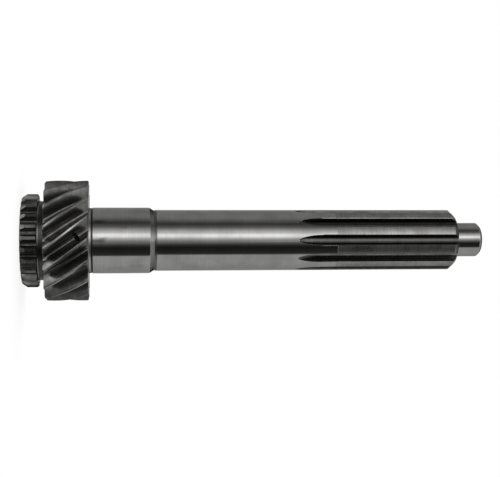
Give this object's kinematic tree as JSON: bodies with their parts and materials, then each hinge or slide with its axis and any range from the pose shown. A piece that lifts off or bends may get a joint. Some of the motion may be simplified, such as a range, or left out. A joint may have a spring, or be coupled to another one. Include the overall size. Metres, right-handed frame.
{
  "type": "transmission main drive gear",
  "caption": "One-piece steel input shaft: dog ring, helical gear, ground bearing journal, splined shaft and round pilot.",
  "frame": {"origin": "centre of the gear-end face, in the mouth of the roller pocket, at the bottom of the part's box", "axes": "+Z along the shaft's axis, from the gear end up to the pilot's tip; the part stands on its gear end"},
  "size_m": [0.056, 0.056, 0.2181],
  "materials": {
    "steel": "hardened, darker on the teeth and splines, ground bright on journal, shaft and pilot"
  },
  "bodies": {
    "root": {"main_drive_gear": "steel"}
  },
  "joints": []
}
